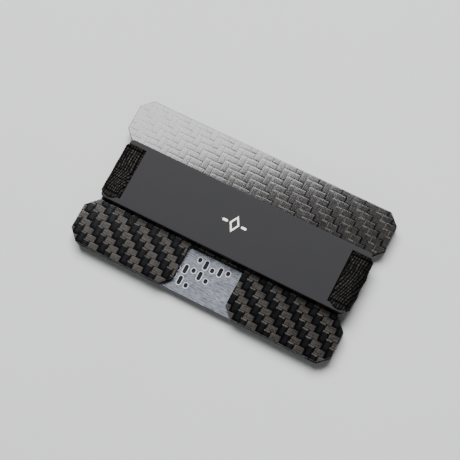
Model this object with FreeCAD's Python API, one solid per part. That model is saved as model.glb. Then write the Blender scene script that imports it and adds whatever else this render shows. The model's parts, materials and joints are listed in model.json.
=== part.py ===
import FreeCAD, Part
import math
import os

# A slim card holder with a money clip. Two carbon laminate plates close on one bank card. A rigid
# clip plate lies on the upper plate, and one loop of woven elastic ties everything together: it
# runs under the lower plate, round both ends in the plates' end recesses, over a thin bar at each
# end of the clip, down through the slot behind that bar and back under the clip.
#
# Millimetres. +X is the long side, +Y points away from the thumb notch, +Z is up. The origin is
# under the middle of the plates, on the surface that the elastic rests on.

Vector = FreeCAD.Vector

# Driving dimensions: the bank card fits between the two strands of elastic.
CARD_LENGTH = 85.6
CARD_DEPTH = 53.98
CARD_THICK = 0.76
CARD_CORNER_RADIUS = 3.18

PLATE_LENGTH = 94.0
PLATE_DEPTH = 54.0
PLATE_THICK = 1.5
PLATE_CORNER_CUT = 3.5
PLATE_EDGE_BREAK = 0.25
RECESS_DEPTH = 4.0
RECESS_FLOOR_HALF = 10.8

NOTCH_CENTRE_X = 0.4
NOTCH_WIDTH = 19.3
NOTCH_DEPTH = 15.5
NOTCH_FLARE = 3.3
NOTCH_CORNER_RADIUS = 0.6

BAND_THICK = 1.0
BAND_WIDTH = 17.6
BAND_END_RADIUS = 1.5

CLIP_LENGTH = 87.7
CLIP_DEPTH = 21.6
CLIP_THICK = 1.7
CLIP_CORNER_RADIUS = 1.2
CLIP_EDGE_BREAK = 0.2
CLIP_TAB_WIDTH = 1.8
CLIP_BAR_LENGTH = 5.2
CLIP_BAR_THICK = 0.6
CLIP_BAR_SETBACK = 0.4
CLIP_BAR_INNER_ROUNDING = 0.2
CLIP_BAR_OUTER_ROUNDING = 0.4

# The clip floats on the elastic and sits a little off the middle of the plates.
CLIP_CENTRE_X = 0.8
CLIP_CENTRE_Y = 0.5

# Play between layers that slide on each other, and between the elastic and the edges it rounds.
LAYER_PLAY = 0.04
EDGE_PLAY = 0.1

# The stack, from the surface up.
BOTTOM_PLATE_Z = BAND_THICK
CARD_Z = BOTTOM_PLATE_Z + PLATE_THICK + LAYER_PLAY
TOP_PLATE_Z = CARD_Z + CARD_THICK + LAYER_PLAY
TOP_PLATE_TOP_Z = TOP_PLATE_Z + PLATE_THICK
CLIP_Z = TOP_PLATE_TOP_Z + LAYER_PLAY + BAND_THICK
CLIP_TOP_Z = CLIP_Z + CLIP_THICK
BAR_TOP_Z = CLIP_Z + CLIP_BAR_THICK

# The clip's end openings, measured from the clip's own middle.
SLOT_WIDTH = BAND_THICK + 2 * EDGE_PLAY
BAR_OUTER = CLIP_LENGTH / 2
BAR_INNER = BAR_OUTER - CLIP_BAR_LENGTH
BAR_END = BAR_OUTER - CLIP_BAR_SETBACK
SLOT_INNER = BAR_INNER - SLOT_WIDTH
SLOT_HALF_DEPTH = CLIP_DEPTH / 2 - CLIP_TAB_WIDTH

# The elastic's seam under the lower plate, and the engraving depths.
SEAM_HALF_LENGTH = 2.1
SEAM_SINK = 0.25
SEAM_GAP = 0.16
STITCH_RADIUS = 0.11
STITCH_COUNT = 14
STITCH_REACH = 1.7
RUN_HALF_LENGTH = 41.0
ENGRAVE_DEPTH = 0.12

# The engraved ornament: a lozenge between two short bars.
LOZENGE_HALF_X = 1.7
LOZENGE_HALF_Y = 3.0
LOZENGE_STROKE = 0.62
ORNAMENT_BAR_LENGTH = 1.9
ORNAMENT_BAR_WIDTH = 0.8
ORNAMENT_BAR_X = 3.35

# Sunk marks on the card: rows of (first mark's X, number of marks, the row's Y).
MARK_PITCH = 2.54
MARK_WIDTH = 1.1
MARK_HEIGHT = 2.8
MARK_ROWS = ((-4.3, 5, -14.9), (-12.2, 6, -18.9), (-12.2, 4, -22.9))

# How far every cutting tool runs past the material.
CLEARANCE = 2.0


def corner_arc(before, corner, after, radius):
    """The start, middle and end of the arc that rounds one corner."""
    back = (before - corner).normalize()
    ahead = (after - corner).normalize()
    half_angle = back.getAngle(ahead) / 2
    reach = radius / math.tan(half_angle)
    depth = radius / math.sin(half_angle) - radius
    bisector = (back + ahead).normalize()
    return corner + back * reach, corner + bisector * depth, corner + ahead * reach


def rounded_wire(corners, radii):
    """A closed wire in the XY plane, each corner rounded by its own radius."""
    count = len(corners)
    arcs = []
    for i in range(count):
        arcs.append(corner_arc(corners[i - 1], corners[i], corners[(i + 1) % count], radii[i]))
    edges = []
    for i in range(count):
        start, middle, end = arcs[i]
        if radii[i] > 0:
            edges.append(Part.Arc(start, middle, end).toShape())
        edges.append(Part.LineSegment(end, arcs[(i + 1) % count][0]).toShape())
    return Part.Wire(edges)


def slab(corners, radii, low_z, height):
    """A flat plate with the given outline."""
    solid = Part.Face(rounded_wire(corners, radii)).extrude(Vector(0, 0, height))
    solid.translate(Vector(0, 0, low_z))
    return solid


def rectangle(centre_x, centre_y, length, depth):
    """The four corners of a rectangle, anticlockwise."""
    half_x = length / 2
    half_y = depth / 2
    signs = ((-1, -1), (1, -1), (1, 1), (-1, 1))
    return [Vector(centre_x + sx * half_x, centre_y + sy * half_y, 0) for sx, sy in signs]


def block(low, high):
    """A box between two opposite corners."""
    low_corner = Vector(*low)
    size = Vector(*high) - low_corner
    return Part.makeBox(size.x, size.y, size.z, low_corner)


def edges_at_height(shape, z):
    """Every edge that lies flat at one height."""
    found = []
    for edge in shape.Edges:
        box = edge.BoundBox
        if abs(box.ZMin - z) < 1e-6 and abs(box.ZMax - z) < 1e-6:
            found.append(edge)
    return found


def plate_outline():
    """A plate's corners and radii, anticlockwise from the front left corner cut."""
    end = PLATE_LENGTH / 2
    side = PLATE_DEPTH / 2
    cut = PLATE_CORNER_CUT
    floor = end - RECESS_DEPTH
    mouth = RECESS_FLOOR_HALF + RECESS_DEPTH
    wall = NOTCH_WIDTH / 2
    lip = wall + NOTCH_FLARE
    notch_top = NOTCH_DEPTH - side
    notch = [
        (NOTCH_CENTRE_X - lip, -side, 0),
        (NOTCH_CENTRE_X - wall, -side + NOTCH_FLARE, NOTCH_CORNER_RADIUS),
        (NOTCH_CENTRE_X - wall, notch_top, NOTCH_CORNER_RADIUS),
        (NOTCH_CENTRE_X + wall, notch_top, NOTCH_CORNER_RADIUS),
        (NOTCH_CENTRE_X + wall, -side + NOTCH_FLARE, NOTCH_CORNER_RADIUS),
        (NOTCH_CENTRE_X + lip, -side, 0),
    ]
    right = [
        (end - cut, -side, 0),
        (end, -side + cut, 0),
        (end, -mouth, 0),
        (floor, -RECESS_FLOOR_HALF, 0),
        (floor, RECESS_FLOOR_HALF, 0),
        (end, mouth, 0),
        (end, side - cut, 0),
        (end - cut, side, 0),
    ]
    left = [(-x, y, radius) for x, y, radius in reversed(right)]
    points = [(-end + cut, -side, 0)] + notch + right + left[:-1]
    return [Vector(x, y, 0) for x, y, radius in points], [radius for x, y, radius in points]


def plate(low_z, outer_z):
    """One laminate plate, its outer face's edges broken all round."""
    corners, radii = plate_outline()
    solid = slab(corners, radii, low_z, PLATE_THICK)
    return solid.makeChamfer(PLATE_EDGE_BREAK, edges_at_height(solid, outer_z))


def band_path():
    """The elastic's middle line in side view, as (x, height, radius), anticlockwise."""
    half = BAND_THICK / 2
    low = half
    under_clip = CLIP_Z - half
    over_bar = BAR_TOP_Z + LAYER_PLAY / 2 + half
    recess = PLATE_LENGTH / 2 - RECESS_DEPTH + EDGE_PLAY + half
    outside = BAR_OUTER + EDGE_PLAY + half
    inside = SLOT_INNER + EDGE_PLAY + half
    straighten = TOP_PLATE_TOP_Z + LAYER_PLAY
    return [
        (recess, low, 0.8),
        (CLIP_CENTRE_X + outside, straighten, 2.0),
        (CLIP_CENTRE_X + outside, over_bar, BAND_END_RADIUS),
        (CLIP_CENTRE_X + inside, over_bar, 0.75),
        (CLIP_CENTRE_X + inside, under_clip, 0.6),
        (CLIP_CENTRE_X - inside, under_clip, 0.6),
        (CLIP_CENTRE_X - inside, over_bar, 0.75),
        (CLIP_CENTRE_X - outside, over_bar, BAND_END_RADIUS),
        (-recess, low, 0.8),
    ]


def offset_path(path, distance):
    """The path moved to its left, with each corner's radius changed to match."""
    count = len(path)
    points = [Vector(x, z, 0) for x, z, radius in path]
    corners = []
    radii = []
    for i in range(count):
        incoming = (points[i] - points[i - 1]).normalize()
        outgoing = (points[(i + 1) % count] - points[i]).normalize()
        normal_in = Vector(-incoming.y, incoming.x, 0)
        normal_out = Vector(-outgoing.y, outgoing.x, 0)
        spread = 1 + normal_in.dot(normal_out)
        corners.append(points[i] + (normal_in + normal_out) * (distance / spread))
        turn = math.copysign(1, incoming.cross(outgoing).z)
        radii.append(path[i][2] - turn * distance)
    return corners, radii


def band_loop():
    """The whole loop of elastic as one closed strip."""
    half = BAND_THICK / 2
    shells = []
    for distance in (-half, half):
        corners, radii = offset_path(band_path(), distance)
        shells.append(Part.Face(rounded_wire(corners, radii)).extrude(Vector(0, 0, BAND_WIDTH)))
    loop = shells[0].cut(shells[1])
    loop.rotate(Vector(0, 0, 0), Vector(1, 0, 0), 90)
    loop.translate(Vector(0, CLIP_CENTRE_Y + BAND_WIDTH / 2, 0))
    return loop


def band_slice(loop, x_range, z_range):
    """The stretch of the elastic inside a window of X and Z."""
    reach = BAND_WIDTH
    window = block((x_range[0], -reach, z_range[0]), (x_range[1], reach, z_range[1]))
    return loop.common(window).Solids[0]


def bottom_run(loop):
    """The run under the lower plate, pressed thinner where its two ends are sewn together."""
    limit = RUN_HALF_LENGTH
    run = band_slice(loop, (-limit, limit), (-CLEARANCE, BOTTOM_PLATE_Z + LAYER_PLAY))
    reach = BAND_WIDTH
    pressed = block((-SEAM_HALF_LENGTH, -reach, -CLEARANCE), (SEAM_HALF_LENGTH, reach, SEAM_SINK))
    gap = block((-SEAM_GAP / 2, -reach, -CLEARANCE), (SEAM_GAP / 2, reach, 2 * SEAM_SINK))
    return run.cut(pressed).cut(gap)


def seam_stitches():
    """Slanted stitches that cross from one end of the elastic to the other."""
    pitch = BAND_WIDTH / (STITCH_COUNT + 0.5)
    first_y = CLIP_CENTRE_Y - BAND_WIDTH / 2 + 0.6 * pitch
    height = SEAM_SINK - STITCH_RADIUS
    stitches = []
    for i in range(STITCH_COUNT):
        side = 1 if i % 2 else -1
        start = Vector(-side * STITCH_REACH, first_y + (i - 0.25) * pitch, height)
        along = Vector(side * 2 * STITCH_REACH, 0.5 * pitch, 0)
        stitches.append(Part.makeCylinder(STITCH_RADIUS, along.Length, start, along))
    return Part.makeCompound(stitches)


def ornament():
    """The engraved shapes, as one tool that stands in the clip's top face."""
    x, y = CLIP_CENTRE_X, CLIP_CENTRE_Y
    low_z = CLIP_TOP_Z - ENGRAVE_DEPTH
    height = ENGRAVE_DEPTH + CLEARANCE
    shapes = []
    for scale in (1.0, 1 - LOZENGE_STROKE / LOZENGE_HALF_X):
        half_x = LOZENGE_HALF_X * scale
        half_y = LOZENGE_HALF_Y * scale
        corners = [Vector(x - half_x, y, 0), Vector(x, y - half_y, 0)]
        corners += [Vector(x + half_x, y, 0), Vector(x, y + half_y, 0)]
        shapes.append(slab(corners, [0] * 4, low_z, height))
    frame = shapes[0].cut(shapes[1])
    bars = []
    for side in (-1, 1):
        corners = rectangle(x + side * ORNAMENT_BAR_X, y, ORNAMENT_BAR_LENGTH, ORNAMENT_BAR_WIDTH)
        bars.append(slab(corners, [ORNAMENT_BAR_WIDTH / 2.2] * 4, low_z, height))
    return frame.multiFuse(bars)


def clip_end_cuts(side):
    """The slot for the elastic, the step down to the bar it goes over, and the bar's short end."""
    inner = CLIP_CENTRE_X + side * SLOT_INNER
    bar = CLIP_CENTRE_X + side * BAR_INNER
    end = CLIP_CENTRE_X + side * BAR_END
    outer = CLIP_CENTRE_X + side * (BAR_OUTER + CLEARANCE)
    low_y = CLIP_CENTRE_Y - SLOT_HALF_DEPTH
    high_y = CLIP_CENTRE_Y + SLOT_HALF_DEPTH
    above = CLIP_TOP_Z + CLEARANCE
    slot = block((min(inner, bar), low_y, CLIP_Z - CLEARANCE), (max(inner, bar), high_y, above))
    step = block((min(inner, outer), low_y, BAR_TOP_Z), (max(inner, outer), high_y, above))
    setback = block((min(end, outer), low_y, CLIP_Z - CLEARANCE), (max(end, outer), high_y, above))
    return slot.fuse(step).fuse(setback)


def bar_edges(shape, reach):
    """The long top edges of both end bars at one distance from the clip's middle."""
    found = []
    for edge in shape.Edges:
        box = edge.BoundBox
        long_in_y = box.YLength > 2 * SLOT_HALF_DEPTH - 1e-3 and box.XLength < 1e-6
        on_bar = abs(abs(box.XMin - CLIP_CENTRE_X) - reach) < 1e-3
        if long_in_y and on_bar and abs(box.ZMin - BAR_TOP_Z) < 1e-6:
            found.append(edge)
    return found


def clip_plate():
    """The rigid plate that banknotes slip under, with its slots, end bars and engraving."""
    corners = rectangle(CLIP_CENTRE_X, CLIP_CENTRE_Y, CLIP_LENGTH, CLIP_DEPTH)
    solid = slab(corners, [CLIP_CORNER_RADIUS] * 4, CLIP_Z, CLIP_THICK)
    for side in (-1, 1):
        solid = solid.cut(clip_end_cuts(side))
    for reach, radius in ((BAR_INNER, CLIP_BAR_INNER_ROUNDING), (BAR_END, CLIP_BAR_OUTER_ROUNDING)):
        solid = solid.makeFillet(radius, bar_edges(solid, reach))
    solid = solid.makeChamfer(CLIP_EDGE_BREAK, edges_at_height(solid, CLIP_TOP_Z))
    return solid.cut(ornament())


def card_marks():
    """Rows of sunk rounded marks: tall, short above, short below, in turn."""
    low_z = CARD_Z + CARD_THICK - ENGRAVE_DEPTH
    kinds = ((MARK_HEIGHT, 0), (MARK_HEIGHT / 2, 1), (MARK_HEIGHT, 0), (MARK_HEIGHT / 2, -1))
    marks = []
    for first_x, count, row_y in MARK_ROWS:
        for i in range(count):
            height, shift = kinds[(i + count) % len(kinds)]
            centre_y = row_y + shift * MARK_HEIGHT / 4
            corners = rectangle(first_x + i * MARK_PITCH, centre_y, MARK_WIDTH, height)
            marks.append(slab(corners, [MARK_WIDTH / 2.2] * 4, low_z, ENGRAVE_DEPTH + CLEARANCE))
    return marks


def bank_card():
    """The card between the plates."""
    corners = rectangle(0, 0, CARD_LENGTH, CARD_DEPTH)
    card = slab(corners, [CARD_CORNER_RADIUS] * 4, CARD_Z, CARD_THICK)
    return card.cut(Part.makeCompound(card_marks()))


def write(name, shape):
    """One STEP file per piece."""
    shape.exportStep("parts/" + name + ".step")
    print(name, "solids", len(shape.Solids), "volume", round(shape.Volume, 2), "valid", shape.isValid())


def main():
    os.makedirs("parts", exist_ok=True)
    write("bottom_plate", plate(BOTTOM_PLATE_Z, BOTTOM_PLATE_Z))
    write("top_plate", plate(TOP_PLATE_Z, TOP_PLATE_TOP_Z))
    write("bank_card", bank_card())
    write("clip_plate", clip_plate())

    loop = band_loop()
    write("band_bottom_run", bottom_run(loop))
    write("seam_stitches", seam_stitches())
    far = PLATE_LENGTH
    under_top = TOP_PLATE_TOP_Z
    past_slot = CLIP_CENTRE_X - BAR_INNER
    write("band_top_run", band_slice(loop, (-RUN_HALF_LENGTH, RUN_HALF_LENGTH), (under_top, CLIP_Z)))
    for name, near, end in (("left", -RUN_HALF_LENGTH, -far), ("right", RUN_HALF_LENGTH, far)):
        outward = (min(near, end), max(near, end))
        write("band_" + name + "_lower", band_slice(loop, outward, (-CLEARANCE, under_top)))
        write("band_" + name + "_upper", band_slice(loop, outward, (under_top, CLIP_Z)))
        over_bar = (min(0, end), max(0, end))
        write("band_" + name + "_loop", band_slice(loop, over_bar, (CLIP_Z, CLIP_TOP_Z + CLEARANCE)))


main()
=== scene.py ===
# %% [markdown]
# # A carbon card holder with a money clip
#
# Two plates of carbon laminate close on a bank card. A black metal clip plate lies on the upper
# one, and one loop of woven elastic ties the whole thing together: under the lower plate, round
# both ends, over a thin bar at each end of the clip and back underneath it.
#
# The packed model already holds every size, place and moving body. This lesson dresses it. The
# CAD pieces could be kept and only painted, but their edges are cut sharp for machining, and the
# elastic is a plain strip. So each piece is rebuilt round its CAD node: hard pieces from the
# node's own outline with rolled edges, and the elastic from its path, rib by rib.

# %% Load the frame
import json
import math

import bmesh
import bpy
import numpy as np
from mathutils import Matrix, Vector
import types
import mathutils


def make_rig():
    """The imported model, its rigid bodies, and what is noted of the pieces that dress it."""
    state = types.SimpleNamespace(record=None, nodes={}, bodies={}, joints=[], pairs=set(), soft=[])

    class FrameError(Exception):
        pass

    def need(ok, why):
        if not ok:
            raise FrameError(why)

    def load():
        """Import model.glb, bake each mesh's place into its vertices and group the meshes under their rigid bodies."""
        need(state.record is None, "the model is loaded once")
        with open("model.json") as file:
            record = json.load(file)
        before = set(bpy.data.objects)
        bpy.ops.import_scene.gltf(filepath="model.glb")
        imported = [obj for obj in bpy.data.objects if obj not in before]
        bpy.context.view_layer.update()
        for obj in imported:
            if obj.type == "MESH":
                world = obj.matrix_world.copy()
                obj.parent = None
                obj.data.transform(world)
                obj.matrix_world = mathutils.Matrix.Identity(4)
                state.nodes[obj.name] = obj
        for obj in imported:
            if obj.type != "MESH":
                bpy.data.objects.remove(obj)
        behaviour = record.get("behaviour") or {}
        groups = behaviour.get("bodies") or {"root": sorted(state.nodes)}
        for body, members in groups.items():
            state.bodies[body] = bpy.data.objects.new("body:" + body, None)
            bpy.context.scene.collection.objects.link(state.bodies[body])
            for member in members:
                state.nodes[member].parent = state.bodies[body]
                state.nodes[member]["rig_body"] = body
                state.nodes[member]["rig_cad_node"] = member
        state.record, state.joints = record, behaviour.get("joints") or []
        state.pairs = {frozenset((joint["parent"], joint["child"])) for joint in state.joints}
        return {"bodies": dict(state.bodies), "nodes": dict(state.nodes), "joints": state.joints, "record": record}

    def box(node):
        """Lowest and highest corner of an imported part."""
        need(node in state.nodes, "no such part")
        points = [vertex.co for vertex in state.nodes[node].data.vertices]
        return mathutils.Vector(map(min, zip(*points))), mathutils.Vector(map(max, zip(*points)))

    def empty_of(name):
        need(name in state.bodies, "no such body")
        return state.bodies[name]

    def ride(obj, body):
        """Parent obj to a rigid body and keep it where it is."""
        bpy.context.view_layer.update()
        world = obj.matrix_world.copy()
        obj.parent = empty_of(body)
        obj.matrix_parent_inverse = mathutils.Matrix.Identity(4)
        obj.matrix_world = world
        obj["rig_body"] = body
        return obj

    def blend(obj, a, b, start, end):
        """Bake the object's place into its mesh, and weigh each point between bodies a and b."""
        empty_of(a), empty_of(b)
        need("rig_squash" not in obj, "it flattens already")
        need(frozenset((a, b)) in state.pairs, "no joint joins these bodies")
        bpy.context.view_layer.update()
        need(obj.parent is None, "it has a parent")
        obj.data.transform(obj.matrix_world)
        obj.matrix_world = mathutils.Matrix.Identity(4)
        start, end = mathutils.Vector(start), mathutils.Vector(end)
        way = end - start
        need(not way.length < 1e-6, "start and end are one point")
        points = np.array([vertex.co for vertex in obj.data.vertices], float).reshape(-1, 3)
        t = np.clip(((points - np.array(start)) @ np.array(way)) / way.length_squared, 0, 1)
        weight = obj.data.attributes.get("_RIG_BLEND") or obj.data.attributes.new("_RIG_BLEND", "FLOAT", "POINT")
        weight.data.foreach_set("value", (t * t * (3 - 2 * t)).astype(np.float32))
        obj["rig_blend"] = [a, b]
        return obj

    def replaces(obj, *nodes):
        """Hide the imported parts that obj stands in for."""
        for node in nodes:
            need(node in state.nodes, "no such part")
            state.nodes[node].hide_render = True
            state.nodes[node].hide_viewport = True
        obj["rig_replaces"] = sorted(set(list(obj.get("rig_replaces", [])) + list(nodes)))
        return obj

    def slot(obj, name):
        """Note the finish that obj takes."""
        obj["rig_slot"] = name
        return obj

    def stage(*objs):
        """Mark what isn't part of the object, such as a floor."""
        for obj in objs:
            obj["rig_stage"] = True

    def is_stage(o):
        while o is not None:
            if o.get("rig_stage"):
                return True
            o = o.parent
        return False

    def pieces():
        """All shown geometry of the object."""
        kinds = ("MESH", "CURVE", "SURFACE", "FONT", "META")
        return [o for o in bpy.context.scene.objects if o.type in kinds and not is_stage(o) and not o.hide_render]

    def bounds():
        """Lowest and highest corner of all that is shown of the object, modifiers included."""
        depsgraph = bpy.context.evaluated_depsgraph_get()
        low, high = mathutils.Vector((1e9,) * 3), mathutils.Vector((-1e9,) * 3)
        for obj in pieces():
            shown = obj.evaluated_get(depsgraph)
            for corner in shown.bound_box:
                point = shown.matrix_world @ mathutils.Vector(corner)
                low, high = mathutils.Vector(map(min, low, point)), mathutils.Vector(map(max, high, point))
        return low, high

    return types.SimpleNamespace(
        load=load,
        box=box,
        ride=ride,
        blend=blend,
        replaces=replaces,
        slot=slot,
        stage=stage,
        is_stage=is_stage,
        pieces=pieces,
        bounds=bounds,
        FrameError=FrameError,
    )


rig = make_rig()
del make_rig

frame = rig.load()
cad_low, cad_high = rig.bounds()
MM = 0.001
print("CAD box, mm:", [round(side / MM, 2) for side in cad_high - cad_low])

# %% [markdown]
# ## Camera
#
# A flat object like this is shown from well above, turned so that its long side runs across the
# picture, with the camera tipped a little for a livelier line. A long lens from over a third of
# a metre keeps the near end from looking much bigger than the far one. The camera is placed by
# the point it looks at, its distance and three angles, easier to think about than a matrix.

# %% Camera
SENSOR_WIDTH = 36.0
LENS = 89.3
AIM_OFFSET = Vector((-0.1, -1.33, 0.0)) * MM
DISTANCE = 366.6 * MM
AZIMUTH = math.radians(43.35)
ELEVATION = math.radians(73.5)
ROLL = math.radians(-16.22)
NEAREST, FARTHEST = 10 * MM, 10.0


def add_camera():
    """A camera that looks at the upper plate's top face."""
    plate_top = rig.box("top_plate")[1].z
    aim = AIM_OFFSET + Vector((0, 0, plate_top))
    flat = math.cos(ELEVATION)
    back = Vector((math.sin(AZIMUTH) * flat, -math.cos(AZIMUTH) * flat, math.sin(ELEVATION)))
    level = Vector((math.cos(AZIMUTH), math.sin(AZIMUTH), 0))
    right = level * math.cos(ROLL) + back.cross(level) * math.sin(ROLL)
    up = back.cross(right)
    data = bpy.data.cameras.new("camera")
    data.sensor_width = SENSOR_WIDTH
    data.lens = LENS
    data.clip_start, data.clip_end = NEAREST, FARTHEST
    camera = bpy.data.objects.new("camera", data)
    turn = Matrix((right, up, back)).transposed().to_4x4()
    camera.matrix_world = Matrix.Translation(aim + back * DISTANCE) @ turn
    bpy.context.scene.collection.objects.link(camera)
    bpy.context.scene.camera = camera
    return camera


camera = add_camera()
print("camera at, mm:", [round(value / MM, 1) for value in camera.matrix_world.translation])

# %% [markdown]
# ## Shader maths as Python
#
# A woven pattern is arithmetic: which strand is on top here, how far along it are we. Wiring that
# by hand takes dozens of Math nodes and hides the idea. `Value` wraps a node's output socket, so
# that `1 - mask` or `x / pitch` adds the node itself. `Finish` is one material: it makes any other
# node from its type, its settings and what goes into its sockets.

# %% Wrapping a socket
class Value:
    """A number that changes over a surface. Arithmetic on it adds Math nodes."""

    def __init__(self, finish, socket):
        self.finish = finish
        self.socket = socket

    def math(self, operation, *others):
        return self.finish.math(operation, self, *others)

    def __add__(self, other):
        return self.math("ADD", other)

    def __radd__(self, other):
        return self.finish.math("ADD", other, self)

    def __sub__(self, other):
        return self.math("SUBTRACT", other)

    def __rsub__(self, other):
        return self.finish.math("SUBTRACT", other, self)

    def __mul__(self, other):
        return self.math("MULTIPLY", other)

    def __rmul__(self, other):
        return self.finish.math("MULTIPLY", other, self)

    def __truediv__(self, other):
        return self.math("DIVIDE", other)

    def __rtruediv__(self, other):
        return self.finish.math("DIVIDE", other, self)

    def __mod__(self, other):
        return self.math("FLOORED_MODULO", other)

    def __rmod__(self, other):
        return self.finish.math("FLOORED_MODULO", other, self)

    def __pow__(self, other):
        return self.math("POWER", other)

    def __rpow__(self, other):
        return self.finish.math("POWER", other, self)

    def __lt__(self, other):
        return self.math("LESS_THAN", other)

    def floor(self):
        return self.math("FLOOR")

    def size(self):
        return self.math("ABSOLUTE")


print("operators:", [name for name in vars(Value) if name.startswith("__r")])

# %% One material
class Finish:
    """A material under construction."""

    def __init__(self, name):
        self.material = bpy.data.materials.new(name)
        self.material.use_nodes = True
        self.tree = self.material.node_tree
        self.tree.nodes.clear()

    def node(self, kind, settings=(), sockets=()):
        """Any node: its type, its settings, then the values or links of its sockets."""
        made = self.tree.nodes.new(kind)
        for name, value in dict(settings).items():
            setattr(made, name, value)
        for key, value in dict(sockets).items():
            value = value.socket if isinstance(value, Value) else value
            if isinstance(value, bpy.types.NodeSocket):
                self.tree.links.new(value, made.inputs[key])
            else:
                made.inputs[key].default_value = value
        return made

    def value(self, kind, output, settings=(), sockets=()):
        return Value(self, self.node(kind, settings, sockets).outputs[output])

    def math(self, operation, *terms):
        return self.value("ShaderNodeMath", 0, {"operation": operation}, enumerate(terms))

    def place(self):
        """x, y and z on the surface, in millimetres."""
        point = self.node("ShaderNodeTexCoord").outputs["Object"]
        sockets = {0: point, "Scale": 1 / MM}
        scaled = self.node("ShaderNodeVectorMath", {"operation": "SCALE"}, sockets)
        parts = self.node("ShaderNodeSeparateXYZ", (), {0: scaled.outputs[0]})
        return [Value(self, parts.outputs[i]) for i in range(3)]

    def vector(self, x, y, z):
        return self.node("ShaderNodeCombineXYZ", (), {0: x, 1: y, 2: z}).outputs[0]

    def ease(self, value, low, high):
        """0 below low, 1 above high, and a smooth step between them."""
        span = {"Value": value, "From Min": low, "From Max": high}
        return self.value("ShaderNodeMapRange", 0, {"interpolation_type": "SMOOTHSTEP"}, span)

    def noise(self, vector, scale, detail=2.0, roughness=0.5):
        """Cloudy variation from 0 to 1, scale patches to a millimetre."""
        inputs = {"Vector": vector, "Scale": scale, "Detail": detail, "Roughness": roughness}
        return self.value("ShaderNodeTexNoise", 0, (), inputs)

    # A Mix node has its number sockets at 2 and 3, and its colour sockets at 6 and 7.

    def blend(self, factor, first, second):
        """One colour where factor is 0, the other where it is 1."""
        settings = {"data_type": "RGBA", "clamp_factor": True}
        return self.node("ShaderNodeMix", settings, {0: factor, 6: first, 7: second}).outputs[2]

    def pick(self, factor, first, second):
        """One number where factor is 0, the other where it is 1."""
        sockets = {0: factor, 2: first, 3: second}
        return self.value("ShaderNodeMix", 0, {"data_type": "FLOAT"}, sockets)

    def band(self, value, low, full, fall, end):
        """1 between full and fall, easing to 0 at low and at end."""
        return self.ease(value, low, full) * (1 - self.ease(value, fall, end))

    def relief(self, height):
        """Shading as if the surface stood that many millimetres high."""
        sockets = {"Height": height, "Distance": MM, "Strength": 1.0}
        return self.node("ShaderNodeBump", (), sockets).outputs[0]

    def surface(self, sockets):
        return self.node("ShaderNodeBsdfPrincipled", (), sockets).outputs[0]

    def mixed(self, factor, first, second):
        """One shader where factor is 0, the other where it is 1."""
        return self.node("ShaderNodeMixShader", (), {0: factor, 1: first, 2: second}).outputs[0]

    def done(self, shader):
        self.node("ShaderNodeOutputMaterial", (), {"Surface": shader})
        print("finish", self.material.name, "has", len(self.tree.nodes), "nodes")
        return self.material


def grey(level):
    return (level, level, level, 1.0)


print("helpers for a finish:", [name for name in vars(Finish) if name[0] != "_"])

# %% [markdown]
# ## Floor and lights
#
# The holder is dark and mostly flat, so what shows is what it mirrors. One large soft light stands
# behind it and to its left, placed so that only the back left of the upper plate mirrors it:
# that makes the pale sheen which fades across the weave. A weaker light on the front right keeps
# the near edges from going black. The floor is a plain pale sheet.

# %% Floor and lights
FLOOR_HALF = 900 * MM
FLOOR_DULL, FLOOR_PALE = grey(0.82), grey(0.86)
KEY_PLACE, KEY_SIZE = Vector((-0.439, 0.930, 1.478)), (1.5, 0.965)
KEY_POWER, KEY_TINT = 64.0, (0.98, 0.99, 1.0)
FILL_PLACE, FILL_SIZE = Vector((0.45, -0.75, 0.55)), (0.7, 0.3)
FILL_POWER, FILL_TINT = 1.2, (1.0, 1.0, 1.0)
ROOM_LEVEL, ROOM_TINT = 0.06, (0.95, 0.97, 1.0, 1.0)


def floor_finish():
    finish = Finish("pale_floor")
    x, y, z = finish.place()
    cloud = finish.noise(finish.vector(x, y, z), 0.02)
    colour = finish.blend(cloud, FLOOR_DULL, FLOOR_PALE)
    return finish.done(finish.surface({"Base Color": colour, "Roughness": 0.75}))


def add_floor():
    """A sheet under the object, a little finer than one face so that it shades evenly."""
    shape = bmesh.new()
    bmesh.ops.create_grid(shape, x_segments=4, y_segments=4, size=FLOOR_HALF)
    mesh = bpy.data.meshes.new("floor")
    shape.to_mesh(mesh)
    shape.free()
    mesh.materials.append(floor_finish())
    floor = bpy.data.objects.new("floor", mesh)
    bpy.context.scene.collection.objects.link(floor)
    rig.stage(floor)


def add_softbox(name, place, size, power, tint):
    """A rectangular light that faces the object."""
    data = bpy.data.lights.new(name, "AREA")
    data.shape = "RECTANGLE"
    data.size, data.size_y = size
    data.energy = power
    data.color = tint
    light = bpy.data.objects.new(name, data)
    light.location = place
    light.rotation_mode = "QUATERNION"
    light.rotation_quaternion = place.to_track_quat("Z", "Y")
    bpy.context.scene.collection.objects.link(light)


def add_room_light():
    """The faint light that comes from everywhere in a pale room."""
    world = bpy.data.worlds.new("room")
    world.use_nodes = True
    background = world.node_tree.nodes["Background"]
    background.inputs["Color"].default_value = ROOM_TINT
    background.inputs["Strength"].default_value = ROOM_LEVEL
    bpy.context.scene.world = world


add_floor()
add_softbox("key", KEY_PLACE, KEY_SIZE, KEY_POWER, KEY_TINT)
add_softbox("front_fill", FILL_PLACE, FILL_SIZE, FILL_POWER, FILL_TINT)
add_room_light()
print("lights:", [o.name for o in bpy.context.scene.objects if o.type == "LIGHT"])

# %% [markdown]
# ## Outlines from the CAD nodes
#
# Every hard piece is flat stock with a cut outline. Typing those outlines again would let them
# drift from the CAD, so they are read off its faces: the edges that only one triangle of a flat
# face uses are that face's rim. `inset` then moves a rim into the material by a small distance,
# which is all that is needed to roll an edge over.

# %% Rims and insets
FLAT = 0.004 * MM
PLACES = 7  # decimals of a metre at which two corners are the same one


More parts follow.
